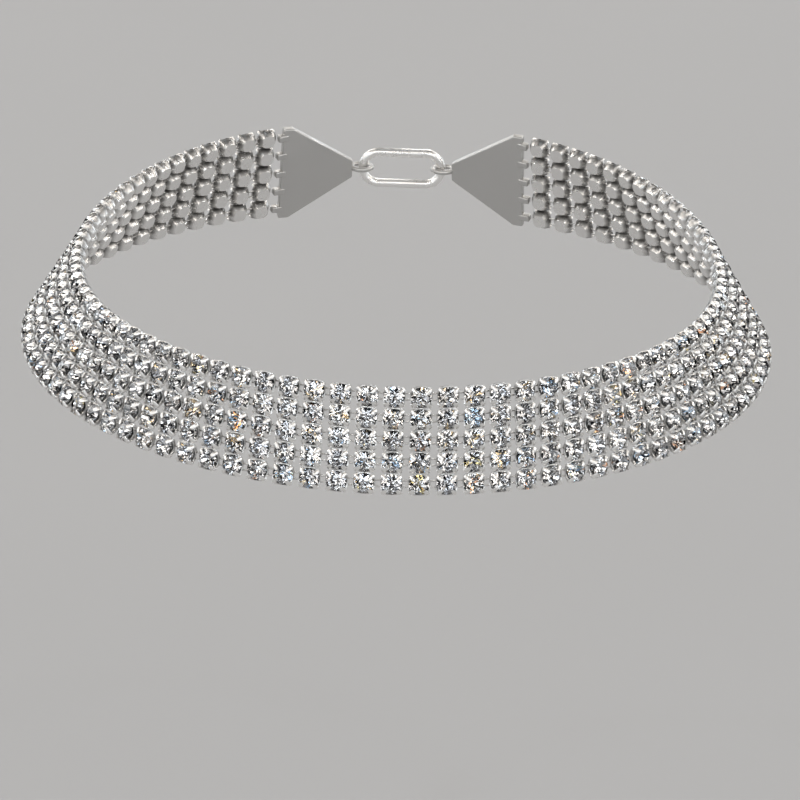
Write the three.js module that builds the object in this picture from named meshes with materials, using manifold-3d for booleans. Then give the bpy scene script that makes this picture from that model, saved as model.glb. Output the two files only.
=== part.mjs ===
// Five-row crystal choker, standing as it does round a neck: columns of round stones in cup settings,
// short links from column to column, and at the back two end plates held together by a plain clasp.
// Millimetres, +Z up, front of the neck at -Y, origin in the middle of the loop.

import * as THREE from "three";
import { mergeVertices } from "three/addons/utils/BufferGeometryUtils.js";
import Module from "manifold-3d";

// The loop: an ellipse through the links of the lowest row
const HALF_WIDTH = 55;
const HALF_DEPTH = 58;

// How far the band leans out from upright towards its lower edge
const FRONT_FLARE = THREE.MathUtils.degToRad(5.5);
const SIDE_FLARE = THREE.MathUtils.degToRad(32);

// Stones and settings, with depths and heights measured from the links
const ROWS = 5;
const CUP_DIAMETER = 3.2;
const CUP_DEPTH = 0.9;
const GIRDLE_HEIGHT = 0.6;
const CROWN_HEIGHT = 1.0;
const TABLE_WIDTH = 2.0;
const SHORTEST_LINK = 0.18;

// Back of the necklace
const END_PLATE_LENGTH = 8;
const END_PLATE_THICKNESS = 1.2;
const END_BAR_WIDTH = 1.6;
const PLATE_TIP_HEIGHT = 3;
const EYE_WIRE = 0.9;
const EYE_CLEARANCE = 0.5;
const CLASP_LENGTH = 14;
const CLASP_HEIGHT = 6.6;
const CLASP_WIRE = 1.4;

// Space left between pieces that touch
const GAP = 0.3;

// Detail of round wires
const EYE_WIRE_SIDES = 6;
const EYE_SEGMENTS = 10;
const CLASP_WIRE_SIDES = 8;
const CLASP_SEGMENTS = 16;

const CUP_RADIUS = CUP_DIAMETER / 2;
const HALF_FLAT = CUP_RADIUS * Math.tan(Math.PI / 8);
const TABLE_RADIUS = TABLE_WIDTH / 2;
const BAND_HEIGHT = ROWS * CUP_DIAMETER;
const ROW_SPAN = (ROWS - 1) * CUP_DIAMETER;

const wasm = await Module();
wasm.setup();

const loop = new THREE.EllipseCurve(0, 0, HALF_WIDTH, HALF_DEPTH, -Math.PI / 2, (3 * Math.PI) / 2);
loop.arcLengthDivisions = 2000;
const loopLength = loop.getLength();

// The top row is the tightest at the sides, where the band leans most. Its shortest link sets the pitch.
const sideRadius = HALF_DEPTH ** 2 / HALF_WIDTH;
const topRowInset = ROW_SPAN * Math.sin(SIDE_FLARE) + CUP_DEPTH * Math.cos(SIDE_FLARE);
const columnPitch = (CUP_DIAMETER + SHORTEST_LINK) / (1 - topRowInset / sideRadius);

// Each eye is drawn outwards until the clasp's wire all but touches its inner side.
const eyeRadius = (CLASP_WIRE + EYE_WIRE) / 2 + EYE_CLEARANCE;
const eyeOffset = (CLASP_LENGTH - CLASP_WIRE) / 2 + EYE_CLEARANCE - GAP;

const backOpening = 2 * (eyeOffset + eyeRadius + END_PLATE_LENGTH + columnPitch);
const columnsEachSide = Math.floor((loopLength - backOpening) / 2 / columnPitch);

// Frame of the column that stands this many pitches round the loop from the front, positive to the right.
// Its origin is at the links of the lowest row, up runs along the column and out points away from the neck.
function columnFrame(index) {
  const share = THREE.MathUtils.euclideanModulo((index * columnPitch) / loopLength, 1);
  const point = loop.getPointAt(share);
  const heading = loop.getTangentAt(share);
  const turn = loop.getUtoTmapping(share) * 2 * Math.PI;
  const flare = FRONT_FLARE + (SIDE_FLARE - FRONT_FLARE) * Math.sin(turn) ** 2;
  const along = new THREE.Vector3(heading.x, heading.y, 0);
  const level = new THREE.Vector3(heading.y, -heading.x, 0);
  const up = new THREE.Vector3(0, 0, Math.cos(flare)).addScaledVector(level, -Math.sin(flare));
  const out = new THREE.Vector3().crossVectors(along, up);
  const origin = new THREE.Vector3(point.x, point.y, -ROW_SPAN / 2);
  return { origin, along, up, out };
}

// Point in a frame, from its distances along, up and out.
function pointIn(frame, along, up, out) {
  return frame.origin
    .clone()
    .addScaledVector(frame.along, along)
    .addScaledVector(frame.up, up)
    .addScaledVector(frame.out, out);
}

// Collects corners and faces into one closed geometry.
class SolidMesh {
  constructor() {
    this.positions = [];
    this.indices = [];
  }

  corner(point) {
    this.positions.push(point.x, point.y, point.z);
    return this.positions.length / 3 - 1;
  }

  // A flat face from its corners, anticlockwise as seen from outside.
  face(...corners) {
    for (let i = 1; i < corners.length - 1; i++) {
      this.indices.push(corners[0], corners[i], corners[i + 1]);
    }
  }

  // A flat face from corners that run clockwise as seen from outside.
  faceBackwards(corners) {
    this.face(...corners.slice().reverse());
  }

  // The sides of a prism between two outlines that run the same way, clockwise as seen from the second.
  sides(from, to) {
    from.forEach((corner, i) => {
      const next = (i + 1) % from.length;
      this.face(corner, to[i], to[next], from[next]);
    });
  }

  geometry() {
    const made = new THREE.BufferGeometry();
    made.setAttribute("position", new THREE.Float32BufferAttribute(this.positions, 3));
    made.setIndex(this.indices);
    made.computeVertexNormals();
    return made;
  }
}

// The two levels of a cup's wall: where the stone's girdle sits, and the cup's back.
const LEVELS = { girdle: GIRDLE_HEIGHT, base: -CUP_DEPTH };

// Corners of one column. Neighbouring cups of a column are soldered, so they share the corners between them.
function columnCorners(mesh, frame) {
  const corners = { shared: {}, left: {}, right: {} };
  for (const [level, out] of Object.entries(LEVELS)) {
    const corner = (along, up) => mesh.corner(pointIn(frame, along, up, out));
    corners.shared[level] = Array.from({ length: ROWS + 1 }, (_, line) => {
      const up = line * CUP_DIAMETER - CUP_RADIUS;
      return [corner(-HALF_FLAT, up), corner(HALF_FLAT, up)];
    });
    const side = (along) =>
      Array.from({ length: ROWS }, (_, row) => {
        const middle = row * CUP_DIAMETER;
        return [corner(along, middle - HALF_FLAT), corner(along, middle + HALF_FLAT)];
      });
    corners.left[level] = side(-CUP_RADIUS);
    corners.right[level] = side(CUP_RADIUS);
  }
  const directions = [[1, 0], [0, 1], [-1, 0], [0, -1]];
  corners.tables = Array.from({ length: ROWS }, (_, row) =>
    directions.map(([along, up]) => {
      const height = row * CUP_DIAMETER + up * TABLE_RADIUS;
      return mesh.corner(pointIn(frame, along * TABLE_RADIUS, height, GIRDLE_HEIGHT + CROWN_HEIGHT));
    }),
  );
  return corners;
}

// The eight corners of a cup at one level, anticlockwise from its right side.
function octagon(column, row, level) {
  const [belowLeft, belowRight] = column.shared[level][row];
  const [aboveLeft, aboveRight] = column.shared[level][row + 1];
  const [leftLow, leftHigh] = column.left[level][row];
  const [rightLow, rightHigh] = column.right[level][row];
  return [rightLow, rightHigh, aboveRight, aboveLeft, leftHigh, leftLow, belowLeft, belowRight];
}

// One stone with its table and eight crown facets, fused to the cup that holds it.
function addStone(mesh, column, row) {
  const girdle = octagon(column, row, "girdle");
  const base = octagon(column, row, "base");
  const table = column.tables[row];
  mesh.face(...table);
  for (let quarter = 0; quarter < 4; quarter++) {
    const first = 2 * quarter;
    const second = first + 1;
    const third = (first + 2) % 8;
    const next = (quarter + 1) % 4;
    mesh.face(girdle[first], girdle[second], table[quarter]);
    mesh.face(girdle[second], girdle[third], table[next], table[quarter]);
    mesh.face(girdle[second], base[second], base[third], girdle[third]);
  }
  if (row === 0) mesh.face(girdle[6], base[6], base[7], girdle[7]);
  if (row === ROWS - 1) mesh.face(girdle[2], base[2], base[3], girdle[3]);
  mesh.faceBackwards(base);
}

// The flat on one side of a cup: its low and high girdle corners, then its high and low base corners.
function flatOf(column, row, side) {
  const [low, high] = column[side].girdle[row];
  const [lowBase, highBase] = column[side].base[row];
  return [low, high, highBase, lowBase];
}

// The same flat as points, worked out from the column's frame.
function flatPoints(frame, row, side) {
  const along = side === "right" ? CUP_RADIUS : -CUP_RADIUS;
  return [
    [-HALF_FLAT, LEVELS.girdle],
    [HALF_FLAT, LEVELS.girdle],
    [HALF_FLAT, LEVELS.base],
    [-HALF_FLAT, LEVELS.base],
  ].map(([up, out]) => pointIn(frame, along, row * CUP_DIAMETER + up, out));
}

// Where the link to the right of a column stops, a gap short of the next column's flat.
function linkEnd(index, row) {
  const from = flatPoints(columnFrame(index), row, "right");
  const facing = flatPoints(columnFrame(index + 1), row, "left");
  return from.map((point, i) => point.lerp(facing[i], 1 - GAP / point.distanceTo(facing[i])));
}

// One half of the stone field: its columns and the links between them. A half that is joined to the other
// ends in links that reach for its first column.
function stoneField(first, last, joined) {
  const mesh = new SolidMesh();
  const columns = new Map();
  for (let index = first; index <= last; index++) {
    columns.set(index, columnCorners(mesh, columnFrame(index)));
  }
  for (const [index, column] of columns) {
    const next = columns.get(index + 1);
    for (let row = 0; row < ROWS; row++) {
      addStone(mesh, column, row);
      const flat = flatOf(column, row, "right");
      if (index === first) mesh.face(...flatOf(column, row, "left"));
      if (next) {
        mesh.sides(flat, flatOf(next, row, "left"));
      } else if (joined) {
        const end = linkEnd(index, row).map((point) => mesh.corner(point));
        mesh.sides(flat, end);
        mesh.faceBackwards(end);
      } else {
        mesh.faceBackwards(flat);
      }
    }
  }
  return mesh.geometry();
}

function manifoldOf(geometry) {
  const bare = geometry.index ? geometry.toNonIndexed() : geometry.clone();
  for (const name of Object.keys(bare.attributes)) {
    if (name !== "position") bare.deleteAttribute(name);
  }
  const merged = mergeVertices(bare, 1e-4);
  return new wasm.Manifold(
    new wasm.Mesh({
      numProp: 3,
      vertProperties: merged.attributes.position.array,
      triVerts: new Uint32Array(merged.index.array),
    }),
  );
}

function geometryOf(manifold) {
  const mesh = manifold.getMesh();
  const geometry = new THREE.BufferGeometry();
  geometry.setAttribute("position", new THREE.BufferAttribute(mesh.vertProperties, mesh.numProp));
  geometry.setIndex(new THREE.BufferAttribute(mesh.triVerts, 1));
  geometry.computeVertexNormals();
  return geometry;
}

// The back of the loop, at the height of the middle of the rows, where the clasp lies.
const claspCentre = pointIn(columnFrame(loopLength / 2 / columnPitch), 0, ROW_SPAN / 2, 0);

// Flat part of the right end plate: a bar across the rows that tapers to the eye.
function taperedPlate(barFrame, eyeCentre) {
  const barCentre = pointIn(barFrame, 0, ROW_SPAN / 2, 0);
  const toEye = eyeCentre.clone().sub(barCentre);
  const reach = toEye.length() - eyeRadius;
  const along = toEye.normalize();
  const out = new THREE.Vector3().crossVectors(along, barFrame.up).normalize();
  const up = new THREE.Vector3().crossVectors(out, along);

  const halfHeight = BAND_HEIGHT / 2;
  const halfBar = END_BAR_WIDTH / 2;
  const halfTip = PLATE_TIP_HEIGHT / 2;
  const outline = new THREE.Shape()
    .moveTo(-halfBar, -halfHeight)
    .lineTo(halfBar, -halfHeight)
    .lineTo(reach, -halfTip)
    .lineTo(reach, halfTip)
    .lineTo(halfBar, halfHeight)
    .lineTo(-halfBar, halfHeight)
    .closePath();
  const plate = new THREE.ExtrudeGeometry(outline, { depth: END_PLATE_THICKNESS, bevelEnabled: false });
  plate.translate(0, 0, -END_PLATE_THICKNESS / 2);
  return plate.applyMatrix4(new THREE.Matrix4().makeBasis(along, up, out).setPosition(barCentre));
}

// Short arm from a row's last stone to the middle of the bar, starting a gap away from the stone.
function rowArm(lastFrame, barFrame, row) {
  const flat = flatPoints(lastFrame, row, "right");
  const middle = flat[0].clone().add(flat[2]).divideScalar(2);
  const barPoint = pointIn(barFrame, 0, row * CUP_DIAMETER, 0);
  const start = middle.clone().lerp(barPoint, GAP / middle.distanceTo(barPoint));
  const share = END_PLATE_THICKNESS / (CUP_DEPTH + GIRDLE_HEIGHT);
  const mesh = new SolidMesh();
  const [near, far] = [start, barPoint].map((centre) =>
    flat.map((point) => mesh.corner(point.clone().sub(middle).multiplyScalar(share).add(centre))),
  );
  mesh.face(...near);
  mesh.sides(near, far);
  mesh.faceBackwards(far);
  return mesh.geometry();
}

// The right end plate, soldered to its arms and its eye. The left one is its mirror image.
function endPlate() {
  const lastFrame = columnFrame(columnsEachSide);
  const barFrame = columnFrame(columnsEachSide + 1);
  const eyeCentre = claspCentre.clone().add(new THREE.Vector3(eyeOffset, 0, 0));
  const eye = new THREE.TorusGeometry(eyeRadius, EYE_WIRE / 2, EYE_WIRE_SIDES, EYE_SEGMENTS);
  eye.translate(...eyeCentre);
  let solid = manifoldOf(taperedPlate(barFrame, eyeCentre)).add(manifoldOf(eye));
  for (let row = 0; row < ROWS; row++) {
    solid = solid.add(manifoldOf(rowArm(lastFrame, barFrame, row)));
  }
  return geometryOf(solid);
}

// The clasp: one long closed loop of round wire, upright across the back, through both eyes.
function clasp() {
  const bend = (CLASP_HEIGHT - CLASP_WIRE) / 2;
  const stretch = (CLASP_LENGTH - CLASP_HEIGHT) / 2;
  const wire = new THREE.TorusGeometry(bend, CLASP_WIRE / 2, CLASP_WIRE_SIDES, CLASP_SEGMENTS);
  wire.rotateZ(Math.PI / CLASP_SEGMENTS);
  const positions = wire.attributes.position;
  for (let i = 0; i < positions.count; i++) {
    positions.setX(i, positions.getX(i) + Math.sign(positions.getX(i)) * stretch);
  }
  wire.rotateX(Math.PI / 2);
  return wire.translate(...claspCentre);
}

const crystal = new THREE.MeshStandardMaterial({
  color: 0xdfe2e4,
  roughness: 0.06,
  metalness: 0.35,
  flatShading: true,
});
const silver = new THREE.MeshStandardMaterial({ color: 0xc9cacc, roughness: 0.22, metalness: 1 });

function named(name, geometry, material) {
  const mesh = new THREE.Mesh(geometry, material);
  mesh.name = name;
  return mesh;
}

const choker = new THREE.Group();
choker.add(named("stone_band_left", stoneField(-columnsEachSide, 0, true), crystal));
choker.add(named("stone_band_right", stoneField(1, columnsEachSide, false), crystal));

const endPlateShape = endPlate();
const rightPlate = named("end_plate_right", endPlateShape, silver);
const leftPlate = named("end_plate_left", endPlateShape, silver);
leftPlate.scale.x = -1;
choker.add(leftPlate, rightPlate);
choker.add(named("clasp", clasp(), silver));

export default choker;
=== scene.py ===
"""Looks of the crystal choker: cut stones, cup settings, link wires, end plates and clasp."""

import logging
import math
from dataclasses import dataclass, field
from enum import Enum
from typing import Iterable, Sequence

import bmesh
import bpy
from mathutils import Matrix, Vector


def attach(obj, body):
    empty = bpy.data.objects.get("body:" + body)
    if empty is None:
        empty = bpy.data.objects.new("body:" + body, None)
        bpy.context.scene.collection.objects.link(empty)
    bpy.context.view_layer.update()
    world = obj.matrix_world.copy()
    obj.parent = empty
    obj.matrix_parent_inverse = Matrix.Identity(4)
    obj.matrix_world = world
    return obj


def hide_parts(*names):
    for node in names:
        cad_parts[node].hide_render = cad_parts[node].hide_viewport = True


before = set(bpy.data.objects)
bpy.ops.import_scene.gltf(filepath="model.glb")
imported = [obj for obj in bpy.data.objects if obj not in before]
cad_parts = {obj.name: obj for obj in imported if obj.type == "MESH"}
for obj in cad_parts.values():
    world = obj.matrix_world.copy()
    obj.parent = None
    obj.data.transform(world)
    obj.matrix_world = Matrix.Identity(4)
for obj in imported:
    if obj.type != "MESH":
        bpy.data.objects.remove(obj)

LOG = logging.getLogger("choker")
MM = 0.001
NODE_SPACING = 200


class Half(Enum):
    """The two halves of the stone field, each standing for one node of the frame."""

    LEFT = "left"
    RIGHT = "right"


# Node trees


class TreeSketch:
    """Builds a node tree: adds nodes, joins their sockets and gives the tree named inputs and outputs."""

    def __init__(self, tree: bpy.types.NodeTree) -> None:
        """Starts a sketch on a tree.

        Args:
            tree: The tree to build in. Its present nodes are removed.
        """
        self.tree = tree
        tree.nodes.clear()

    @classmethod
    def geometry(cls, name: str) -> "TreeSketch":
        """Starts a geometry tree that takes and gives one geometry.

        Args:
            name: Name of the tree.

        Returns:
            The sketch of the new tree.
        """
        sketch = cls(bpy.data.node_groups.new(name, "GeometryNodeTree"))
        sketch.tree.interface.new_socket("Geometry", in_out="OUTPUT", socket_type="NodeSocketGeometry")
        sketch.tree.interface.new_socket("Geometry", in_out="INPUT", socket_type="NodeSocketGeometry")
        return sketch

    @classmethod
    def shader_group(cls, name: str) -> "TreeSketch":
        """A new shader node group without sockets."""
        return cls(bpy.data.node_groups.new(name, "ShaderNodeTree"))

    @classmethod
    def material(cls, name: str) -> tuple["TreeSketch", bpy.types.Material]:
        """Starts a material.

        Args:
            name: Name of the material.

        Returns:
            The sketch of its tree, and the material.
        """
        made = bpy.data.materials.new(name)
        made.use_nodes = True
        return cls(made.node_tree), made

    def takes(self, name: str, kind: str, default: object = None) -> None:
        """Gives the tree a named input.

        Args:
            name: Name of the input.
            kind: Socket type, such as NodeSocketFloat.
            default: Value that the input starts with.
        """
        socket = self.tree.interface.new_socket(name, in_out="INPUT", socket_type=kind)
        if default is not None:
            socket.default_value = default

    def gives(self, name: str, kind: str) -> None:
        """Gives the tree a named output of that socket type."""
        self.tree.interface.new_socket(name, in_out="OUTPUT", socket_type=kind)

    def add(
        self, kind: str, inputs: dict[str | int, object] | None = None, **settings: object
    ) -> bpy.types.Node:
        """Adds a node.

        Args:
            kind: The node's type name.
            inputs: Input name or index to a value, or to the output socket that feeds it.
            settings: Properties of the node.

        Returns:
            The new node.
        """
        node = self.tree.nodes.new(kind)
        node.location = (NODE_SPACING * len(self.tree.nodes), 0)
        for name, value in settings.items():
            setattr(node, name, value)
        for key, value in (inputs or {}).items():
            if isinstance(value, bpy.types.NodeSocket):
                self.tree.links.new(value, node.inputs[key])
            else:
                node.inputs[key].default_value = value
        return node

    def finish(self, outputs: dict[str, bpy.types.NodeSocket]) -> bpy.types.NodeTree:
        """Ends a group by feeding its outputs.

        Args:
            outputs: Output name to the socket that feeds it.

        Returns:
            The finished tree.
        """
        self.add("NodeGroupOutput", outputs)
        return self.tree


def attribute(sketch: TreeSketch, name: str, kind: str) -> bpy.types.NodeSocket:
    """The field of a named attribute in a geometry tree.

    Args:
        sketch: The tree's sketch.
        name: Name of the attribute.
        kind: Data type, such as FLOAT_VECTOR.

    Returns:
        The socket that gives the attribute's value.
    """
    return sketch.add("GeometryNodeInputNamedAttribute", {"Name": name}, data_type=kind).outputs[0]


# Finishes


@dataclass(frozen=True)
class FineWear:
    """Shader group of rubbing on Object coordinates: a slow mottle, fine scratches and painted shade in
    recesses.

    The mottle's noise counts from calm to busy, and the painted shade of a recess is weakened by the mottle
    down to least_painted_shade of its depth.
    """

    name: str = "Fine Wear"
    calm: float = 0.3
    busy: float = 0.7
    # Painted shade in a recess keeps at least this share of its depth where the mottle is calm.
    least_painted_shade: float = 0.55
    mottle_detail: float = 4.0
    mottle_roughness: float = 0.6
    scratch_detail: float = 2.0

    def tree(self) -> bpy.types.NodeTree:
        """The group, built the first time it is asked for.

        Returns:
            A tree with the outputs Roughness, Height for a bump, and Painted Shade, from 0 on bright metal
            to 1 where shade is painted darkest.
        """
        if self.name in bpy.data.node_groups:
            return bpy.data.node_groups[self.name]
        sketch = TreeSketch.shader_group(self.name)
        sketch.takes("Mottle Scale", "NodeSocketFloat", 400.0)
        sketch.takes("Scratch Scale", "NodeSocketFloat", 2500.0)
        sketch.takes("Scratch Grain", "NodeSocketVector", (1.0, 0.25, 3.0))
        sketch.takes("Smooth", "NodeSocketFloat", 0.1)
        sketch.takes("Rubbed", "NodeSocketFloat", 0.3)
        sketch.takes("Painted Shade Depth", "NodeSocketFloat", 0.0)
        sketch.gives("Roughness", "NodeSocketFloat")
        sketch.gives("Height", "NodeSocketFloat")
        sketch.gives("Painted Shade", "NodeSocketFloat")
        given = sketch.add("NodeGroupInput").outputs
        place = sketch.add("ShaderNodeTexCoord").outputs["Object"]
        mottle = sketch.add(
            "ShaderNodeTexNoise",
            {
                "Vector": place,
                "Scale": given["Mottle Scale"],
                "Detail": self.mottle_detail,
                "Roughness": self.mottle_roughness,
            },
        )
        stretched = sketch.add("ShaderNodeMapping", {"Vector": place, "Scale": given["Scratch Grain"]})
        scratch = sketch.add(
            "ShaderNodeTexNoise",
            {
                "Vector": stretched.outputs[0],
                "Scale": given["Scratch Scale"],
                "Detail": self.scratch_detail,
            },
        )
        spread = sketch.add(
            "ShaderNodeMapRange",
            {
                "Value": mottle.outputs[0],
                "From Min": self.calm,
                "From Max": self.busy,
                "To Min": given["Smooth"],
                "To Max": given["Rubbed"],
            },
        )
        patches = sketch.add(
            "ShaderNodeMapRange",
            {
                "Value": mottle.outputs[0],
                "From Min": self.calm,
                "From Max": self.busy,
                "To Min": self.least_painted_shade,
            },
        )
        # Painted shade: the recess depth times the mottled patches, darkening the metal where shade falls.
        painted_shade = sketch.add(
            "ShaderNodeMath", {0: given["Painted Shade Depth"], 1: patches.outputs[0]}, operation="MULTIPLY"
        )
        return sketch.finish(
            {"Roughness": spread.outputs[0], "Height": scratch.outputs[0], "Painted Shade": painted_shade.outputs[0]}
        )


@dataclass(frozen=True)
class MetalFinish:
    """Metal of the settings or the plates, rubbed where it is touched, with painted shade darkening its
    recesses.
    """

    name: str = "silver_plating"
    colour: tuple[float, float, float, float] = (0.92, 0.91, 0.895, 1.0)
    # Colour of the painted shade: the metal is darkened towards it in recesses, as if shaded.
    painted_shade_colour: tuple[float, float, float, float] = (0.17, 0.165, 0.16, 1.0)
    smooth: float = 0.22
    rubbed: float = 0.36
    mottle_scale: float = 400.0
    scratch_scale: float = 2500.0
    scratch_grain: tuple[float, float, float] = (1.0, 0.25, 3.0)
    scratch_strength: float = 0.15
    scratch_depth: float = 0.02 * MM

    def material(self) -> bpy.types.Material:
        """The material. The attribute recess, from 0 to 1, tells how deep in a crevice a point lies and so
        how much painted shade darkens it.

        Returns:
            The material, built from the fine wear group.
        """
        sketch, made = TreeSketch.material(self.name)
        recess = sketch.add("ShaderNodeAttribute", {}, attribute_name="recess", attribute_type="GEOMETRY")
        wear = sketch.add("ShaderNodeGroup", {}, node_tree=FineWear().tree())
        wear.inputs["Mottle Scale"].default_value = self.mottle_scale
        wear.inputs["Scratch Scale"].default_value = self.scratch_scale
        wear.inputs["Scratch Grain"].default_value = self.scratch_grain
        wear.inputs["Smooth"].default_value = self.smooth
        wear.inputs["Rubbed"].default_value = self.rubbed
        sketch.tree.links.new(recess.outputs["Fac"], wear.inputs["Painted Shade Depth"])
        # The ramp paints shade: it darkens the base colour towards the painted shade colour by the recess
        # depth.
        ramp = sketch.add("ShaderNodeValToRGB", {"Fac": wear.outputs["Painted Shade"]})
        ramp.color_ramp.elements[0].color = self.colour
        ramp.color_ramp.elements[1].color = self.painted_shade_colour
        bump = sketch.add(
            "ShaderNodeBump",
            {
                "Strength": self.scratch_strength,
                "Distance": self.scratch_depth,
                "Height": wear.outputs["Height"],
            },
        )
        surface = sketch.add(
            "ShaderNodeBsdfPrincipled",
            {
                "Base Color": ramp.outputs[0],
                "Metallic": 1.0,
                "Roughness": wear.outputs["Roughness"],
                "Normal": bump.outputs[0],
            },
        )
        sketch.add("ShaderNodeOutputMaterial", {"Surface": surface.outputs[0]})
        return made


SILVER_PLATING = MetalFinish()
BRUSHED_STEEL = MetalFinish(
    name="brushed_steel",
    colour=(0.56, 0.555, 0.545, 1.0),
    smooth=0.28,
    rubbed=0.44,
    mottle_scale=180.0,
    scratch_scale=700.0,
    scratch_grain=(0.12, 1.0, 3.0),
    scratch_strength=0.6,
)


@dataclass(frozen=True)
class CrystalFinish:
    """Clear cut glass, as smooth as it is polished."""

    name: str = "clear_crystal"
    colour: tuple[float, float, float, float] = (0.985, 0.99, 1.0, 1.0)
    refraction: float = 1.58
    smooth: float = 0.0
    rubbed: float = 0.03

    def material(self) -> bpy.types.Material:
        """The material, with a trace of handling in its roughness.

        Returns:
            The material.
        """
        sketch, made = TreeSketch.material(self.name)
        wear = sketch.add("ShaderNodeGroup", {}, node_tree=FineWear().tree())
        wear.inputs["Smooth"].default_value = self.smooth
        wear.inputs["Rubbed"].default_value = self.rubbed
        surface = sketch.add(
            "ShaderNodeBsdfPrincipled",
            {
                "Base Color": self.colour,
                "Metallic": 0.0,
                "Transmission Weight": 1.0,
                "IOR": self.refraction,
                "Roughness": wear.outputs["Roughness"],
            },
        )
        sketch.add("ShaderNodeOutputMaterial", {"Surface": surface.outputs[0]})
        return made


@dataclass(frozen=True)
class FoilFinish:
    """The mirrored back of a stone. A few facets are painted with a warm or a blue spark, a painted glint
    that stands in for the fire of cut glass.

    A row of facets holds the number from which a colour is taken, up to the next row's, and the colour.
    """

    name: str = "mirror_foil"
    facets: tuple[tuple[float, tuple[float, float, float, float]], ...] = (
        (0.0, (0.88, 0.87, 0.85, 1.0)),
        (0.34, (0.83, 0.85, 0.88, 1.0)),
        (0.62, (0.50, 0.50, 0.51, 1.0)),
        # The last four rows are painted sparks: bright coloured glints painted on a few facets of the foil.
        (0.945, (1.0, 0.78, 0.48, 1.0)),
        (0.965, (0.58, 0.78, 1.0, 1.0)),
        (0.985, (1.0, 0.58, 0.36, 1.0)),
        (0.993, (1.0, 0.86, 0.42, 1.0)),
    )
    roughness: float = 0.015

    def material(self) -> bpy.types.Material:
        """The material. The facet's own number from 0 to 1, the attribute fire, picks its tone or its
        painted spark.

        Returns:
            The material.
        """
        sketch, made = TreeSketch.material(self.name)
        fire = sketch.add("ShaderNodeAttribute", {}, attribute_name="fire", attribute_type="GEOMETRY")
        ramp = sketch.add("ShaderNodeValToRGB", {"Fac": fire.outputs["Fac"]})
        ramp.color_ramp.interpolation = "CONSTANT"
        ramp.color_ramp.elements.remove(ramp.color_ramp.elements[1])
        ramp.color_ramp.elements[0].color = self.facets[0][1]
        for start, colour in self.facets[1:]:
            ramp.color_ramp.elements.new(start).color = colour
        surface = sketch.add(
            "ShaderNodeBsdfPrincipled",
            {"Base Color": ramp.outputs[0], "Metallic": 1.0, "Roughness": self.roughness},
        )
        sketch.add("ShaderNodeOutputMaterial", {"Surface": surface.outputs[0]})
        return made


@dataclass(frozen=True)
class FloorFinish:
    """Pale matt paper with the faintest mottle."""

    name: str = "pale_floor"
    light: tuple[float, float, float, float] = (0.465, 0.47, 0.48, 1.0)
    dark: tuple[float, float, float, float] = (0.445, 0.45, 0.46, 1.0)
    mottle_scale: float = 6.0
    mottle_detail: float = 3.0
    roughness: float = 0.9

    def material(self) -> bpy.types.Material:
        """The material.

        Returns:
            The material.
        """
        sketch, made = TreeSketch.material(self.name)
        place = sketch.add("ShaderNodeTexCoord").outputs["Object"]
        mottle = sketch.add(
            "ShaderNodeTexNoise",
            {"Vector": place, "Scale": self.mottle_scale, "Detail": self.mottle_detail},
        )
        ramp = sketch.add("ShaderNodeValToRGB", {"Fac": mottle.outputs[0]})
        ramp.color_ramp.elements[0].color = self.dark
        ramp.color_ramp.elements[1].color = self.light
        surface = sketch.add(
            "ShaderNodeBsdfPrincipled", {"Base Color": ramp.outputs[0], "Roughness": self.roughness}
        )
        sketch.add("ShaderNodeOutputMaterial", {"Surface": surface.outputs[0]})
        return made


# The form that the stones follow


@dataclass(frozen=True)
class ColumnFrame:
    """Place and directions of one column of stones."""

    origin: Vector
    along: Vector
    up: Vector
    out: Vector

    def point(self, along: float, up: float, out: float) -> Vector:
        """The point at these distances from the column's origin."""
        return self.origin + self.along * along + self.up * up + self.out * out


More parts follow.
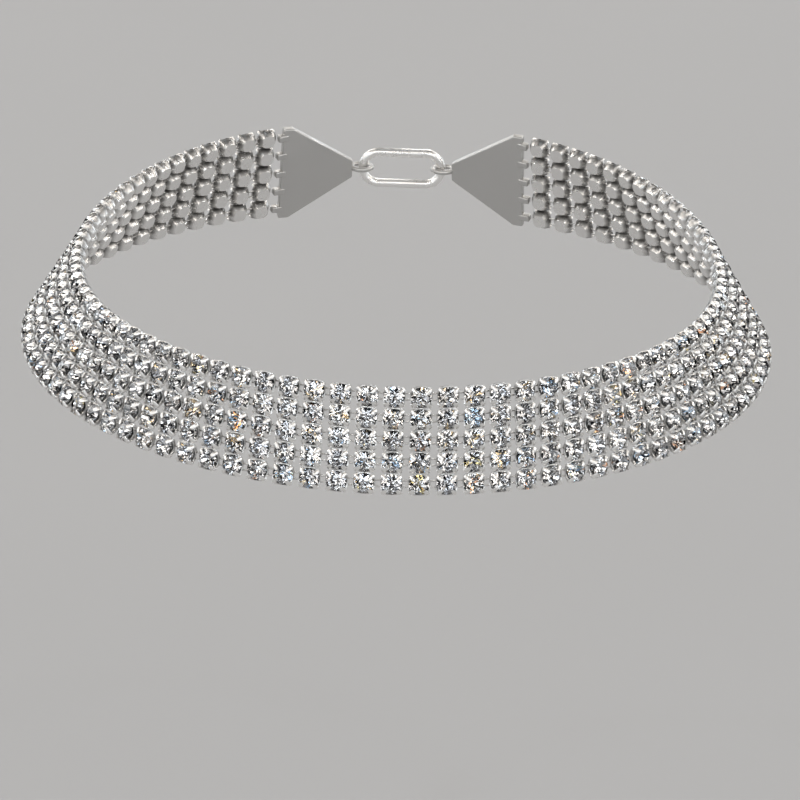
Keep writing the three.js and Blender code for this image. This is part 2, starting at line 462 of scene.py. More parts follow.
@dataclass(frozen=True)
class LoopForm:
    """The flared loop: an ellipse of columns, as the frame's solids have it. Lengths are in metres."""

    half_width: float = 55 * MM
    half_depth: float = 58 * MM
    front_flare: float = math.radians(5.5)
    side_flare: float = math.radians(32)
    rows: int = 5
    cup_diameter: float = 3.2 * MM
    cup_depth: float = 0.9 * MM
    shortest_link: float = 0.18 * MM
    columns_each_side: int = 40
    steps: int = 7200

    @property
    def row_span(self) -> float:
        """Height from the lowest row of stones to the highest, along the column."""
        return (self.rows - 1) * self.cup_diameter

    @property
    def column_pitch(self) -> float:
        """Distance from column to column along the ellipse of the lowest row.

        Returns:
            The distance, at which the shortest link wires at the upper inner edge keep their length.
        """
        side_radius = self.half_depth**2 / self.half_width
        inset = self.row_span * math.sin(self.side_flare) + self.cup_depth * math.cos(self.side_flare)
        return (self.cup_diameter + self.shortest_link) / (1 - inset / side_radius)

    def turns(self, count: int) -> list[float]:
        """Angles round the ellipse of the columns from the front to the right.

        Args:
            count: How many columns, the front one included.

        Returns:
            One angle for each, in radians, at equal distances along the ellipse.
        """
        found = [0.0]
        length = 0.0
        step = 2 * math.pi / self.steps
        turn = 0.0
        while len(found) < count:
            middle = turn + step / 2
            sideways, backwards = self.half_width * math.cos(middle), self.half_depth * math.sin(middle)
            piece = math.hypot(sideways, backwards) * step
            wanted = len(found) * self.column_pitch
            if length + piece >= wanted:
                found.append(turn + step * (wanted - length) / piece)
            length += piece
            turn += step
        return found

    def frame_at(self, turn: float) -> ColumnFrame:
        """The frame of a column.

        Args:
            turn: Angle round the ellipse, 0 at the front and positive to the right.

        Returns:
            The frame, with its origin at the lowest stone.
        """
        sine, cosine = math.sin(turn), math.cos(turn)
        along = Vector((self.half_width * cosine, self.half_depth * sine, 0)).normalized()
        level = Vector((along.y, -along.x, 0))
        flare = self.front_flare + (self.side_flare - self.front_flare) * sine**2
        up = Vector((0, 0, math.cos(flare))) - level * math.sin(flare)
        origin = Vector((self.half_width * sine, -self.half_depth * cosine, -self.row_span / 2))
        return ColumnFrame(origin, along, up, along.cross(up))

    def columns(self) -> dict[int, ColumnFrame]:
        """Frames of all columns.

        Returns:
            Index to frame, 0 at the front, with one more at each end where the end plates' bars stand.
        """
        frames = {}
        for index, turn in enumerate(self.turns(self.columns_each_side + 2)):
            frames[index] = self.frame_at(turn)
            frames[-index] = self.frame_at(-turn)
        return frames


def mesh_object(name: str, points: Sequence[Vector], faces: Sequence[Sequence[int]]) -> bpy.types.Object:
    """A linked mesh object from points and faces.

    Args:
        name: Name of the object and its mesh.
        points: Corners, in metres.
        faces: Corner numbers of each face, anticlockwise as seen from outside.

    Returns:
        The object.
    """
    mesh = bpy.data.meshes.new(name)
    mesh.from_pydata([tuple(p) for p in points], [], [tuple(f) for f in faces])
    mesh.update()
    made = bpy.data.objects.new(name, mesh)
    bpy.context.scene.collection.objects.link(made)
    return made


def guide_object(
    name: str,
    points: Sequence[Vector],
    edges: Sequence[tuple[int, int]],
    vectors: dict[str, Sequence[Vector]],
) -> bpy.types.Object:
    """A guide of points and edges that a geometry tree dresses.

    Args:
        name: Name of the object.
        points: Places, in metres.
        edges: Pairs of point numbers.
        vectors: Name of a point attribute to its value at each point.

    Returns:
        The object.
    """
    mesh = bpy.data.meshes.new(name)
    mesh.from_pydata([tuple(p) for p in points], list(edges), [])
    for label, values in vectors.items():
        layer = mesh.attributes.new(label, "FLOAT_VECTOR", "POINT")
        layer.data.foreach_set("vector", [number for value in values for number in value])
    made = bpy.data.objects.new(name, mesh)
    bpy.context.scene.collection.objects.link(made)
    return made


def dressed(
    guide: bpy.types.Object, tree: bpy.types.NodeTree, values: dict[str, object], name: str
) -> bpy.types.Object:
    """Runs a geometry tree on a guide and keeps the result as a plain mesh.

    Args:
        guide: The object that the tree starts from. It is removed.
        tree: The geometry tree.
        values: Input name to its value.
        name: Name of the resulting object.

    Returns:
        The new object, at the origin, with no modifiers.
    """
    modifier = guide.modifiers.new(tree.name, "NODES")
    modifier.node_group = tree
    sockets = {item.name: item.identifier for item in tree.interface.items_tree if item.in_out == "INPUT"}
    for label, value in values.items():
        modifier[sockets[label]] = value
    guide.update_tag()
    graph = bpy.context.evaluated_depsgraph_get()
    mesh = bpy.data.meshes.new_from_object(guide.evaluated_get(graph))
    mesh.name = name
    made = bpy.data.objects.new(name, mesh)
    bpy.context.scene.collection.objects.link(made)
    bpy.data.objects.remove(guide)
    return made


# Prototypes that the field repeats


@dataclass(frozen=True)
class CutStone:
    """A round stone with an octagonal table, star, main and girdle facets, and a faceted back. Metres."""

    girdle_radius: float = 1.5 * MM
    table_radius: float = 0.74 * MM
    star_radius: float = 1.10 * MM
    crown_height: float = 0.70 * MM
    back_depth: float = 1.3 * MM
    back_split_radius: float = 0.5 * MM
    girdle_level: float = 0.6 * MM
    mains: int = 8

    def build(self) -> bpy.types.Object:
        """The stone as one closed body, with the attribute mirrored on the facets of its back.

        Returns:
            A mesh object with +Z outwards, its origin at the level of the links.
        """
        count = self.mains
        step = 2 * math.pi / count
        half = step / 2

        def spot(radius: float, angle: float, height: float) -> Vector:
            """A corner at this radius, angle and height."""
            return Vector((radius * math.cos(angle), radius * math.sin(angle), height))

        slope = self.crown_height / (self.girdle_radius - self.table_radius)
        table_level = self.girdle_level + self.crown_height
        star_level = table_level - (self.star_radius * math.cos(half) - self.table_radius) * slope
        back_slope = self.back_depth / self.girdle_radius
        culet_level = self.girdle_level - self.back_depth
        split_level = culet_level + self.back_split_radius * math.cos(half) * back_slope

        points: list[Vector] = []
        points += [spot(self.table_radius, i * step + half, table_level) for i in range(count)]
        points += [spot(self.star_radius, i * step, star_level) for i in range(count)]
        points += [spot(self.girdle_radius, i * half, self.girdle_level) for i in range(2 * count)]
        points += [spot(self.back_split_radius, i * step, split_level) for i in range(count)]
        points.append(Vector((0, 0, culet_level)))
        star, girdle, split = count, 2 * count, 4 * count
        culet = len(points) - 1

        clear: list[tuple[int, ...]] = [tuple(range(count))]
        mirrored: list[tuple[int, ...]] = []
        for i in range(count):
            following = (i + 1) % count
            before = (i - 1) % count
            corner = girdle + 2 * i + 1
            middle = girdle + 2 * i
            corner_before = girdle + (2 * i - 1) % (2 * count)
            clear.append((i, before, star + i))
            clear.append((i, star + i, corner, star + following))
            clear.append((star + i, corner_before, middle))
            clear.append((star + i, middle, corner))
            mirrored.append((culet, split + following, corner, split + i))
            mirrored.append((split + i, middle, corner_before))
            mirrored.append((split + i, corner, middle))
        made = mesh_object("stone_pattern", points, clear + mirrored)
        layer = made.data.attributes.new("mirrored", "BOOLEAN", "FACE")
        layer.data.foreach_set("value", [False] * len(clear) + [True] * len(mirrored))
        return made


@dataclass(frozen=True)
class CupSetting:
    """A small metal cup, square with round corners, and the claws that reach over the stone. Millimetres.

    A row of wall holds half its width, its height, how far its edge dips between the corners, and its
    painted shade depth. A row of claw_path holds the distance from the middle, height, width, thickness and
    painted shade depth. Painted shade runs from 0 where the metal stays bright to 1 where it is painted
    darkest.
    """

    # Last column: painted shade depth, darkest on the side wall, where neighbouring cups shade it.
    wall: tuple[tuple[float, float, float, float], ...] = (
        (1.02, -0.90, 0.00, 0.15),
        (1.50, -0.10, 0.00, 1.00),
        (1.59, 0.60, 0.34, 0.70),
        (1.45, 0.62, 0.34, 0.20),
    )
    inner_depth: float = -0.84
    squareness: float = 3.2
    sides: int = 16
    claws: int = 4
    # Last column: painted shade depth, darkest at the claw's foot beside the cup.
    claw_path: tuple[tuple[float, float, float, float, float], ...] = (
        (1.44, -0.16, 0.64, 0.24, 1.00),
        (1.78, 0.34, 0.64, 0.24, 0.45),
        (1.80, 0.68, 0.62, 0.24, 0.00),
        (1.48, 0.98, 0.60, 0.22, 0.00),
        (1.02, 1.21, 0.42, 0.12, 0.00),
    )
    claw_section: tuple[tuple[float, float], ...] = (
        (0.5, -0.5), (0.5, 0.1), (0.28, 0.5), (-0.28, 0.5), (-0.5, 0.1), (-0.5, -0.5)
    )

    def ring(self, half_width: float, height: float, dip: float) -> list[Vector]:
        """One ring of the wall.

        Args:
            half_width: From the middle to the flat sides.
            height: Height at the corners.
            dip: How much lower the ring runs at the middle of each side.

        Returns:
            The ring's points, anticlockwise from +X.
        """
        found = []
        for i in range(self.sides):
            angle = 2 * math.pi * i / self.sides
            cosine, sine = math.cos(angle), math.sin(angle)
            bulge = (abs(cosine) ** self.squareness + abs(sine) ** self.squareness) ** (1 / self.squareness)
            level = height - dip * math.cos(2 * angle) ** 2
            found.append(Vector((half_width / bulge * cosine, half_width / bulge * sine, level)) * MM)
        return found

    def cup(self) -> bpy.types.Object:
        """The cup, with +Z outwards and its corners at the diagonals.

        Returns:
            A closed body with the attribute recess.
        """
        rings = [self.ring(width, height, dip) for width, height, dip, _ in self.wall]
        made = mesh_object("cup_pattern", *lofted(rings, last_tip=Vector((0, 0, self.inner_depth)) * MM))
        # Painted shade depth for each ring's points, and full painted shade at the bottom inside the cup.
        store_painted_shade_depth(made, [row[-1] for row in self.wall for _ in range(self.sides)] + [1.0])
        smooth_with_edges(made)
        return made

    def claw(self) -> bpy.types.Object:
        """One claw along +X, a flat strip with rounded shoulders that bends inwards over the stone.

        Returns:
            A closed body with the attribute recess.
        """
        path = [Vector((row[0], 0, row[1])) for row in self.claw_path]
        side = Vector((0, 1, 0))
        rings = []
        for i, (place, (_, _, width, thickness, _)) in enumerate(zip(path, self.claw_path)):
            heading = (path[min(i + 1, len(path) - 1)] - path[max(i - 1, 0)]).normalized()
            across, outward = side * width, side.cross(heading) * thickness
            rings.append([(place + across * a + outward * b) * MM for a, b in self.claw_section])
        made = mesh_object("claw_pattern", *lofted(rings))
        # Painted shade depth along the claw, from its shaded foot to its bright tip.
        store_painted_shade_depth(made, [row[-1] for row in self.claw_path for _ in self.claw_section])
        tidy_normals(made)
        smooth_with_edges(made)
        return made


def store_painted_shade_depth(piece: bpy.types.Object, values: Sequence[float]) -> None:
    """Writes the attribute recess, how much painted shade darkens each point of a piece, from 0 to 1."""
    piece.data.attributes.new("recess", "FLOAT", "POINT").data.foreach_set("value", list(values))


def lofted(
    rings: Sequence[Sequence[Vector]], last_tip: Vector | None = None, closed: bool = False
) -> tuple[list[Vector], list[tuple[int, ...]]]:
    """Joins rings of points, each with as many points, into a closed body.

    Args:
        rings: The rings, anticlockwise as seen from the last one's side.
        last_tip: Point that closes the last ring in a fan, instead of one flat face.
        closed: Whether the last ring joins the first one, with no ends.

    Returns:
        The points and the faces.
    """
    count = len(rings[0])
    points = [point for ring in rings for point in ring]
    faces: list[tuple[int, ...]] = []
    for level in range(len(rings) if closed else len(rings) - 1):
        low, high = level * count, (level + 1) % len(rings) * count
        for i in range(count):
            following = (i + 1) % count
            faces.append((low + i, low + following, high + following, high + i))
    if closed:
        return points, faces
    faces.append(tuple(range(count))[::-1])
    top = (len(rings) - 1) * count
    if last_tip is None:
        faces.append(tuple(top + i for i in range(count)))
        return points, faces
    points.append(last_tip)
    faces += [(len(points) - 1, top + (i - 1) % count, top + i) for i in range(count)]
    return points, faces


def smooth_with_edges(piece: bpy.types.Object, angle: float = math.radians(38)) -> None:
    """Shades a piece smoothly, apart from edges sharper than the angle."""
    piece.data.shade_smooth()
    piece.data.set_sharp_from_angle(angle=angle)


def tidy_normals(piece: bpy.types.Object) -> None:
    """Turns all faces of a closed mesh outwards.

    Args:
        piece: The mesh object.
    """
    work = bmesh.new()
    work.from_mesh(piece.data)
    bmesh.ops.recalc_face_normals(work, faces=work.faces)
    work.to_mesh(piece.data)
    work.free()


# Sub-assemblies


@dataclass
class StoneField:
    """All stones, cup settings and link wires, in two halves that meet beside the centre column. Metres.

    A lean holds the most that a stone or cup tilts and turns at random, as in work set by hand.
    """

    form: LoopForm
    stone: CutStone
    setting: CupSetting
    crystal: bpy.types.Material
    foil: bpy.types.Material
    silver: bpy.types.Material
    wire_radius: float = 0.14 * MM
    wire_spacing: float = 0.94 * MM
    wire_reach: float = 1.42 * MM
    wire_sides: int = 6
    # Painted shade that darkens every link wire, as if lying in the shade between the cups.
    wire_painted_shade_depth: float = 0.5
    stone_lean: tuple[float, float] = (math.radians(3.0), math.radians(11))
    cup_lean: tuple[float, float] = (math.radians(1.0), math.radians(1.5))
    stone_seed: int = 7
    cup_seed: int = 17
    frames: dict[int, ColumnFrame] = field(init=False)

    def __post_init__(self) -> None:
        """Works out the frames of the columns once."""
        self.frames = self.form.columns()

    def columns_of(self, half: Half) -> range:
        """Indices of the columns in a half. The centre column belongs to the left one."""
        last = self.form.columns_each_side
        return range(-last, 1) if half is Half.LEFT else range(1, last + 1)

    def stone_guide(self, half: Half, name: str) -> bpy.types.Object:
        """Points at the stones of a half, with the directions that each stone takes.

        Args:
            half: Which half.
            name: Name of the guide.

        Returns:
            The guide, with the attributes out_direction and along_direction.
        """
        points, outs, alongs = [], [], []
        for index in self.columns_of(half):
            column = self.frames[index]
            for row in range(self.form.rows):
                points.append(column.point(0, row * self.form.cup_diameter, 0))
                outs.append(column.out)
                alongs.append(column.along)
        return guide_object(name, points, [], {"out_direction": outs, "along_direction": alongs})

    def wire_guide(self, half: Half, name: str) -> bpy.types.Object:
        """Edges along the link wires, two for each row between neighbouring columns.

        Args:
            half: Which half. The left one holds the wires that reach the right half's first column.
            name: Name of the guide.

        Returns:
            The guide.
        """
        points, edges = [], []
        last = self.form.columns_each_side
        for index in self.columns_of(half):
            if index == last:
                continue
            here, there = self.frames[index], self.frames[index + 1]
            for row in range(self.form.rows):
                for side in (-1, 1):
                    up = row * self.form.cup_diameter + side * self.wire_spacing / 2
                    edges.append((len(points), len(points) + 1))
                    points.append(here.point(self.wire_reach, up, 0))
                    points.append(there.point(-self.wire_reach, up, 0))
        return guide_object(name, points, edges, {})

    def facing(self, sketch: TreeSketch, given: bpy.types.NodeOutputs) -> bpy.types.NodeSocket:
        """The rotation of each copy: it faces out along the column, with a small random lean.

        Args:
            sketch: Sketch of a tree with the inputs Tilt, Turn and Seed.
            given: Outputs of the tree's input node.

        Returns:
            The socket that gives the rotation.
        """
        straight = sketch.add(
            "FunctionNodeAxesToRotation",
            {
                "Primary Axis": attribute(sketch, "out_direction", "FLOAT_VECTOR"),
                "Secondary Axis": attribute(sketch, "along_direction", "FLOAT_VECTOR"),
            },
            primary_axis="Z",
            secondary_axis="X",
        ).outputs[0]
        most = sketch.add(
            "ShaderNodeCombineXYZ", {0: given["Tilt"], 1: given["Tilt"], 2: given["Turn"]}
        ).outputs[0]
        least = sketch.add("ShaderNodeVectorMath", {0: most, "Scale": -1.0}, operation="SCALE").outputs[0]
        lean = sketch.add(
            "FunctionNodeRandomValue", {0: least, 1: most, "Seed": given["Seed"]}, data_type="FLOAT_VECTOR"
        ).outputs[0]
        loose = sketch.add("FunctionNodeEulerToRotation", {0: lean}).outputs[0]
        leaning = sketch.add("FunctionNodeRotateRotation", {0: straight, 1: loose}, rotation_space="LOCAL")
        return leaning.outputs[0]

    def stone_tree(self) -> bpy.types.NodeTree:
        """Tree that sets a stone on each point and gives each facet its number for the foil's tone or
        painted spark.

        Returns:
            The tree.
        """
        sketch = TreeSketch.geometry("Set Stones")
        sketch.takes("Stone", "NodeSocketObject")
        sketch.takes("Tilt", "NodeSocketFloat", self.stone_lean[0])
        sketch.takes("Turn", "NodeSocketFloat", self.stone_lean[1])
        sketch.takes("Seed", "NodeSocketInt", self.stone_seed)
        sketch.takes("Crystal", "NodeSocketMaterial")
        sketch.takes("Foil", "NodeSocketMaterial")
        given = sketch.add("NodeGroupInput").outputs
        pattern = sketch.add("GeometryNodeObjectInfo", {"Object": given["Stone"]}).outputs["Geometry"]
        placed = sketch.add(
            "GeometryNodeInstanceOnPoints",
            {"Points": given["Geometry"], "Instance": pattern, "Rotation": self.facing(sketch, given)},
        ).outputs[0]
        real = sketch.add("GeometryNodeRealizeInstances", {0: placed}).outputs[0]
        # Each facet's random number, by which the foil picks a tone or a painted spark.
        number = sketch.add(
            "FunctionNodeRandomValue", {2: 0.0, 3: 1.0, "Seed": given["Seed"]}, data_type="FLOAT"
        ).outputs[1]
        spark_picked = sketch.add(
            "GeometryNodeStoreNamedAttribute",
            {"Geometry": real, "Name": "fire", "Value": number},
            data_type="FLOAT",
            domain="FACE",
        ).outputs[0]
        clear = sketch.add(
            "GeometryNodeSetMaterial", {"Geometry": spark_picked, "Material": given["Crystal"]}
        ).outputs[0]
        backed = sketch.add(
            "GeometryNodeSetMaterial",
            {
                "Geometry": clear,
                "Selection": attribute(sketch, "mirrored", "BOOLEAN"),
                "Material": given["Foil"],
            },
        ).outputs[0]
        return sketch.finish({"Geometry": backed})

    def setting_tree(self) -> bpy.types.NodeTree:
        """Tree that rings a cup with claws and puts the whole setting on each point.

        Returns:
            The tree.
        """
        sketch = TreeSketch.geometry("Cup Settings")
        sketch.takes("Cup", "NodeSocketObject")
        sketch.takes("Claw", "NodeSocketObject")
        sketch.takes("Claws", "NodeSocketInt", self.setting.claws)
        sketch.takes("Tilt", "NodeSocketFloat", self.cup_lean[0])
        sketch.takes("Turn", "NodeSocketFloat", self.cup_lean[1])
        sketch.takes("Seed", "NodeSocketInt", self.cup_seed)
        sketch.takes("Metal", "NodeSocketMaterial")
        given = sketch.add("NodeGroupInput").outputs
        cup = sketch.add("GeometryNodeObjectInfo", {"Object": given["Cup"]}).outputs["Geometry"]
        claw = sketch.add("GeometryNodeObjectInfo", {"Object": given["Claw"]}).outputs["Geometry"]
        seats = sketch.add("GeometryNodePoints", {"Count": given["Claws"]}).outputs[0]
        number = sketch.add("GeometryNodeInputIndex").outputs[0]
        share = sketch.add("ShaderNodeMath", {0: number, 1: 0.5}, operation="ADD").outputs[0]
        part = sketch.add("ShaderNodeMath", {0: share, 1: given["Claws"]}, operation="DIVIDE").outputs[0]
        angle = sketch.add("ShaderNodeMath", {0: part, 1: 2 * math.pi}, operation="MULTIPLY").outputs[0]
        turned = sketch.add("FunctionNodeAxisAngleToRotation", {"Axis": (0, 0, 1), "Angle": angle})
        claws = sketch.add(
            "GeometryNodeInstanceOnPoints",
            {"Points": seats, "Instance": claw, "Rotation": turned.outputs[0]},
        ).outputs[0]
        whole = sketch.add("GeometryNodeJoinGeometry")
        sketch.tree.links.new(cup, whole.inputs[0])
        sketch.tree.links.new(claws, whole.inputs[0])
        one = sketch.add("GeometryNodeGeometryToInstance")
        sketch.tree.links.new(whole.outputs[0], one.inputs[0])
        placed = sketch.add(
            "GeometryNodeInstanceOnPoints",
            {
                "Points": given["Geometry"],
                "Instance": one.outputs[0],
                "Rotation": self.facing(sketch, given),
            },
        ).outputs[0]
        real = sketch.add("GeometryNodeRealizeInstances", {0: placed}).outputs[0]
        plated = sketch.add("GeometryNodeSetMaterial", {"Geometry": real, "Material": given["Metal"]})
        return sketch.finish({"Geometry": plated.outputs[0]})

    def wire_tree(self) -> bpy.types.NodeTree:
        """Tree that draws a round wire along each edge of the guide and paints shade on it.

        Returns:
            The tree.
        """
        sketch = TreeSketch.geometry("Link Wires")
        sketch.takes("Radius", "NodeSocketFloat", self.wire_radius)
        sketch.takes("Sides", "NodeSocketInt", self.wire_sides)
        sketch.takes("Painted Shade Depth", "NodeSocketFloat", self.wire_painted_shade_depth)
        sketch.takes("Metal", "NodeSocketMaterial")
        given = sketch.add("NodeGroupInput").outputs
        paths = sketch.add("GeometryNodeMeshToCurve", {0: given["Geometry"]}).outputs[0]
        section = sketch.add(
            "GeometryNodeCurvePrimitiveCircle", {"Resolution": given["Sides"], "Radius": given["Radius"]}
        ).outputs[0]
        wires = sketch.add(
            "GeometryNodeCurveToMesh", {"Curve": paths, "Profile Curve": section, "Fill Caps": True}
        ).outputs[0]
        smooth = sketch.add("GeometryNodeSetShadeSmooth", {0: wires}).outputs[0]
        # Paints shade on the wires through the attribute that the metal darkens by.
        shade_painted = sketch.add(
            "GeometryNodeStoreNamedAttribute",
            {"Geometry": smooth, "Name": "recess", "Value": given["Painted Shade Depth"]},
            data_type="FLOAT",
            domain="POINT",
        ).outputs[0]
        real = sketch.add("GeometryNodeRealizeInstances", {0: shade_painted}).outputs[0]
        plated = sketch.add("GeometryNodeSetMaterial", {"Geometry": real, "Material": given["Metal"]})
        return sketch.finish({"Geometry": plated.outputs[0]})

    def build(self) -> Iterable[bpy.types.Object]:
        """Builds both halves and hands each piece to the frame.

        Returns:
            The pieces, one after another.
        """
        stone, cup, claw = self.stone.build(), self.setting.cup(), self.setting.claw()
        stone_tree, setting_tree, wire_tree = self.stone_tree(), self.setting_tree(), self.wire_tree()
        for number, half in enumerate(Half):
            node = f"stone_band_{half.value}"
            tilt, turn = self.stone_lean
            stones = dressed(
                self.stone_guide(half, "stone_places"),
                stone_tree,
                {
                    "Stone": stone,
                    "Tilt": tilt,
                    "Turn": turn,
                    "Seed": self.stone_seed + number,
                    "Crystal": self.crystal,
                    "Foil": self.foil,
                },
                f"stones_{half.value}",
            )
            tilt, turn = self.cup_lean
            settings = dressed(
                self.stone_guide(half, "setting_places"),
                setting_tree,
                {
                    "Cup": cup,
                    "Claw": claw,
                    "Claws": self.setting.claws,
                    "Tilt": tilt,
                    "Turn": turn,
                    "Seed": self.cup_seed + number,
                    "Metal": self.silver,
                },
                f"cup_settings_{half.value}",
            )
            wires = dressed(
                self.wire_guide(half, "wire_places"),
                wire_tree,
                {
                    "Radius": self.wire_radius,
                    "Sides": self.wire_sides,
                    "Painted Shade Depth": self.wire_painted_shade_depth,
                    "Metal": self.silver,
                },
                f"link_wires_{half.value}",
            )
            for piece, slot in ((stones, "crystal"), (settings, "silver"), (wires, "silver")):
                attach(piece, "root")
                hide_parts(node)
                yield piece
        for pattern in (stone, cup, claw):
            bpy.data.objects.remove(pattern)


@dataclass
class BackParts:
    """The two end plates and the clasp that holds them together behind the neck. Metres."""

    form: LoopForm
    silver: bpy.types.Material
    brushed: bpy.types.Material
    plate_thickness: float = 1.2 * MM
    bar_width: float = 1.6 * MM
    tip_height: float = 3 * MM
    edge_round: float = 0.22 * MM
    eye_wire: float = 0.9 * MM
    eye_clearance: float = 0.5 * MM
    eye_drawn_wire: float = 0.8 * MM
    eye_drawn_inset: float = 0.06 * MM
    clasp_length: float = 14 * MM
    clasp_height: float = 6.6 * MM
    clasp_wire: float = 1.4 * MM
    gap: float = 0.3 * MM
    arm_height: float = 1.06 * MM
    cup_middle: float = -0.15 * MM
    wire_sides: int = 20
    bends: int = 40

    @property
    def eye_radius(self) -> float:
        """Radius of an eye, to the middle of its wire."""
        return (self.clasp_wire + self.eye_wire) / 2 + self.eye_clearance

    @property
    def eye_offset(self) -> float:
        """Distance of an eye's middle from the clasp's middle."""
        return (self.clasp_length - self.clasp_wire) / 2 + self.eye_clearance - self.gap

    @property
    def centre(self) -> Vector:
        """The middle of the clasp, at the back of the loop."""
        return self.form.frame_at(math.pi).point(0, self.form.row_span / 2, 0)

    def wire_loop(
        self, centre: Vector, bend: float, stretch: float, wire: float, upright: bool
    ) -> tuple[list[Vector], list[tuple[int, ...]]]:
        """A closed loop of round wire with two half-round ends.

        Args:
            centre: Its middle.
            bend: Radius of the ends, to the middle of the wire.
            stretch: Half the length of its straight sides, which run along X.
            wire: The wire's diameter.
            upright: Whether the loop stands in the XZ plane or lies level.

        Returns:
            Points and faces.
        """
        across = Vector((0, 0, 1)) if upright else Vector((0, 1, 0))
        axis = Vector((1, 0, 0)).cross(across)
        rings = []
        for i in range(self.bends):
            turn = 2 * math.pi * (i + 0.5) / self.bends
            spoke = Vector((1, 0, 0)) * math.cos(turn) + across * math.sin(turn)
            shift = Vector((math.copysign(stretch, math.cos(turn)), 0, 0))
            ring = []
            for corner in range(self.wire_sides):
                angle = 2 * math.pi * corner / self.wire_sides
                offset = spoke * math.cos(angle) + axis * math.sin(angle)
                ring.append(centre + shift + spoke * bend + offset * wire / 2)
            rings.append(ring)
        return lofted(rings, closed=True)

    def clasp(self) -> bpy.types.Object:
        """The clasp, one long loop of round wire through both eyes.

        Returns:
            The clasp.
        """
        bend = (self.clasp_height - self.clasp_wire) / 2
        stretch = (self.clasp_length - self.clasp_height) / 2
        made = mesh_object("clasp_loop", *self.wire_loop(self.centre, bend, stretch, self.clasp_wire, True))
        tidy_normals(made)
        made.data.shade_smooth()
        return made

    def plate(self, bar: ColumnFrame, eye: Vector) -> bpy.types.Object:
        """The flat plate: a bar across the rows that tapers to the eye, with rounded edges.

        Args:
            bar: Frame at the bar.
            eye: Middle of the eye.

        Returns:
            The plate.
        """
        middle = bar.point(0, self.form.row_span / 2, 0)
        along = (eye - middle).normalized()
        out = along.cross(bar.up).normalized()
        up = out.cross(along)
        reach = (eye - middle).length - self.eye_radius
        half_height = self.form.rows * self.form.cup_diameter / 2
        half_bar, half_tip = self.bar_width / 2, self.tip_height / 2
        outline = (
            (-half_bar, -half_height),
            (half_bar, -half_height),
            (reach, -half_tip),
            (reach, half_tip),
            (half_bar, half_height),
            (-half_bar, half_height),
        )
        rings = [
            [middle + along * x + up * y + out * side * self.plate_thickness / 2 for x, y in outline]
            for side in (-1, 1)
        ]
        made = mesh_object("plate_body", *lofted(rings))
        rounded(made, self.edge_round)
        return made

    def arm(self, last: ColumnFrame, bar: ColumnFrame, row: int) -> bpy.types.Object:
        """The short arm from a row's last stone to the bar.

        Args:
            last: Frame of the last column.
            bar: Frame at the bar.
            row: Which row, from the lowest.

        Returns:
            The arm.
        """
        level = row * self.form.cup_diameter
        stone_side = last.point(self.form.cup_diameter / 2, level, self.cup_middle)
        bar_side = bar.point(0, level, 0)
        start = stone_side + (bar_side - stone_side).normalized() * self.gap
        up, out = last.up * self.arm_height / 2, last.out * self.plate_thickness / 2
        signs = ((-1, -1), (-1, 1), (1, 1), (1, -1))
        rings = [[place + up * a + out * b for a, b in signs] for place in (start, bar_side)]
        made = mesh_object("arm_body", *lofted(rings))
        rounded(made, self.edge_round)
        return made

    def end_plate(self, half: Half) -> bpy.types.Object:
        """One end plate with its arms and its eye.

        Args:
            half: Which side it is on.

        Returns:
            The whole end plate as one mesh. The left one is the right one's mirror image.
        """
        turns = self.form.turns(self.form.columns_each_side + 2)
        last, bar = self.form.frame_at(turns[-2]), self.form.frame_at(turns[-1])
        eye = self.centre + Vector((self.eye_offset, 0, 0))
        bend = self.eye_radius - self.eye_drawn_inset
        ring = mesh_object("eye_body", *self.wire_loop(eye, bend, 0.0, self.eye_drawn_wire, False))
        tidy_normals(ring)
        ring.data.shade_smooth()
        pieces = [self.plate(bar, eye), ring]
        pieces += [self.arm(last, bar, row) for row in range(self.form.rows)]
        whole = joined(pieces, f"end_plate_body_{half.value}")
        if half is Half.LEFT:
            whole.data.transform(Matrix.Scale(-1, 4, Vector((1, 0, 0))))
            whole.data.flip_normals()
        return whole

    def build(self) -> Iterable[bpy.types.Object]:
        """Builds the three pieces and hands them to the frame.

        Returns:
            The pieces, one after another.
        """
        made = [(self.end_plate(half), f"end_plate_{half.value}", self.brushed) for half in Half]
        made.append((self.clasp(), "clasp", self.silver))
        for piece, node, metal in made:
            piece.data.materials.append(metal)
            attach(piece, "root")
            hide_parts(node)
            yield piece


def rounded(piece: bpy.types.Object, width: float, steps: int = 3) -> None:
    """Rounds all edges of a closed body, whose flat faces stay flat.

    Args:
        piece: The body.
        width: How far the rounding reaches from each edge.
        steps: Faces across the rounding.
    """
    work = bmesh.new()
    work.from_mesh(piece.data)
    bmesh.ops.recalc_face_normals(work, faces=work.faces)
    rounding = bmesh.ops.bevel(
        work, geom=work.edges[:], offset=width, segments=steps, profile=0.5, affect="EDGES"
    )["faces"]
    for face in work.faces:
        face.smooth = False
    for face in rounding:
        face.smooth = True
    work.to_mesh(piece.data)
    work.free()


def joined(pieces: Sequence[bpy.types.Object], name: str) -> bpy.types.Object:
    """Joins pieces into one mesh object.

    Args:
        pieces: Objects at the origin. They are removed.
        name: Name of the new object.

    Returns:
        The new object.
    """
    work = bmesh.new()
    for piece in pieces:
        work.from_mesh(piece.data)
        bpy.data.objects.remove(piece)
    mesh = bpy.data.meshes.new(name)
    work.to_mesh(mesh)
    work.free()
    made = bpy.data.objects.new(name, mesh)
    bpy.context.scene.collection.objects.link(made)
    return made


# Light and camera


WARM_LIGHT = (1.0, 0.95, 0.89)
COOL_LIGHT = (0.92, 0.965, 1.0)


@dataclass(frozen=True)
class PanelRing:
    """A ring of soft panels round the choker at one height.

    A panel's spread is its width over its distance.
    """

    elevation: float
    count: int
    spread: float
    radiance: float
    colour: tuple[float, float, float]
    start: float = 0.0


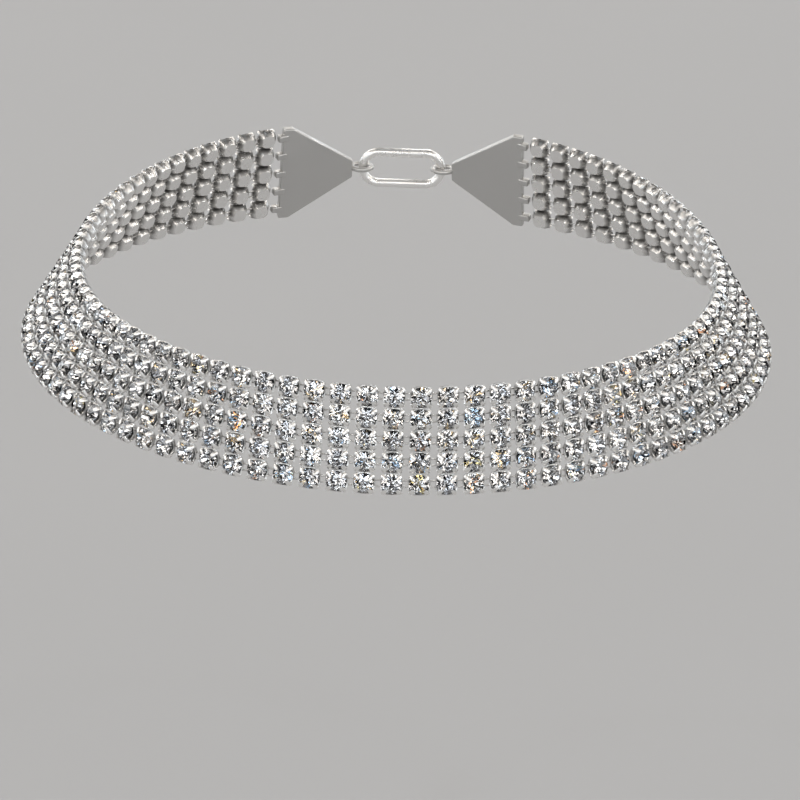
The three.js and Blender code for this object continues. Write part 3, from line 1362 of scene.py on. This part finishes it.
@dataclass
class Studio:
    """Floor, world, soft panels all round and the camera at the photo's angle."""

    floor_level: float = -0.16
    floor_size: float = 24.0
    panel_distance: float = 6.0
    rings: tuple[PanelRing, ...] = (
        PanelRing(math.radians(8), 11, 0.29, 2.6, COOL_LIGHT, math.radians(8)),
        PanelRing(math.radians(33), 10, 0.34, 2.8, WARM_LIGHT, math.radians(-12)),
        PanelRing(math.radians(60), 5, 0.36, 0.8, WARM_LIGHT, math.radians(20)),
        PanelRing(math.radians(90), 1, 0.30, 0.8, COOL_LIGHT),
        PanelRing(math.radians(21), 13, 0.022, 100.0, WARM_LIGHT, math.radians(-20)),
        PanelRing(math.radians(47), 9, 0.022, 100.0, COOL_LIGHT, math.radians(15)),
    )
    room: tuple[float, float, float, float] = (0.018, 0.018, 0.02, 1.0)
    backdrop: tuple[float, float, float, float] = (0.50, 0.50, 0.50, 1.0)
    distance: float = 0.80
    elevation: float = math.radians(21.19)
    roll: float = math.radians(1.925)
    lens: float = 238.8
    sensor_width: float = 36.0
    clip: tuple[float, float] = (0.01, 60.0)
    loop_level: float = -6.4 * MM
    aim_right: float = 0.86 * MM
    aim_down: float = 9.87 * MM

    def floor(self) -> None:
        """A plain pale floor that fills the view."""
        half = self.floor_size / 2
        signs = ((-1, -1), (1, -1), (1, 1), (-1, 1))
        corners = [Vector((x * half, y * half, self.floor_level)) for x, y in signs]
        made = mesh_object("floor", corners, [(0, 1, 2, 3)])
        made.data.materials.append(FloorFinish().material())

    def world(self) -> None:
        """A dim room behind the panels, with a pale backdrop where the camera looks past the floor."""
        made = bpy.data.worlds.new("studio")
        made.use_nodes = True
        bpy.context.scene.world = made
        sketch = TreeSketch(made.node_tree)
        seen = sketch.add("ShaderNodeLightPath").outputs["Is Camera Ray"]
        dim = sketch.add("ShaderNodeBackground", {"Color": self.room})
        pale = sketch.add("ShaderNodeBackground", {"Color": self.backdrop})
        mixed = sketch.add("ShaderNodeMixShader", {0: seen, 1: dim.outputs[0], 2: pale.outputs[0]})
        sketch.add("ShaderNodeOutputWorld", {"Surface": mixed.outputs[0]})

    def panel(self, name: str, direction: Vector, ring: PanelRing) -> None:
        """A square soft light that faces the choker.

        Args:
            name: Name of the light.
            direction: From the choker to the light.
            ring: The ring that it belongs to.
        """
        data = bpy.data.lights.new(name, "AREA")
        data.size = ring.spread * self.panel_distance
        data.color = ring.colour
        data.energy = ring.radiance * math.pi * data.size**2
        made = bpy.data.objects.new(name, data)
        made.location = direction * self.panel_distance
        made.rotation_euler = (-direction).to_track_quat("-Z", "Y").to_euler()
        made.visible_camera = False
        bpy.context.scene.collection.objects.link(made)

    def lights(self) -> None:
        """Rings of panels, so that every stone has bright and dark directions to mirror."""
        for level, ring in enumerate(self.rings):
            for i in range(ring.count):
                turn = ring.start + 2 * math.pi * i / ring.count
                flat, height = math.cos(ring.elevation), math.sin(ring.elevation)
                direction = Vector((flat * math.sin(turn), -flat * math.cos(turn), height))
                self.panel(f"panel_{level}_{i}", direction, ring)

    def camera(self) -> None:
        """The camera, held so that the ring lies in the frame as in the photo."""
        ahead = Vector((0, math.cos(self.elevation), -math.sin(self.elevation)))
        right = Vector((1, 0, 0))
        above = right.cross(ahead)
        place = Vector((0, 0, self.loop_level)) - ahead * self.distance
        aim = Vector((0, 0, self.loop_level)) + right * self.aim_right - above * self.aim_down
        backwards = (place - aim).normalized()
        side = right * math.cos(self.roll) + above * math.sin(self.roll)
        top = backwards.cross(side).normalized()
        side = top.cross(backwards)
        data = bpy.data.cameras.new("camera")
        data.lens = self.lens
        data.sensor_width = self.sensor_width
        data.clip_start, data.clip_end = self.clip
        made = bpy.data.objects.new("camera", data)
        made.matrix_world = Matrix((side, top, backwards)).transposed().to_4x4()
        made.location = place
        bpy.context.scene.collection.objects.link(made)
        bpy.context.scene.camera = made

    def build(self) -> None:
        """Sets the whole studio up."""
        self.floor()
        self.world()
        self.lights()
        self.camera()
        bpy.context.scene.view_settings.view_transform = "Standard"


def main() -> None:
    """Builds the studio and the choker and reports each piece."""
    logging.basicConfig(level=logging.INFO, format="%(name)s: %(message)s")
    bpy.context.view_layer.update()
    Studio().build()
    silver, brushed = SILVER_PLATING.material(), BRUSHED_STEEL.material()
    crystal, foil = CrystalFinish().material(), FoilFinish().material()
    form = LoopForm()
    stones = StoneField(form, CutStone(), CupSetting(), crystal, foil, silver)
    for assembly in (stones, BackParts(form, silver, brushed)):
        for piece in assembly.build():
            LOG.info("%s has %d faces", piece.name, len(piece.data.polygons))


if __name__ == "__main__":
    main()
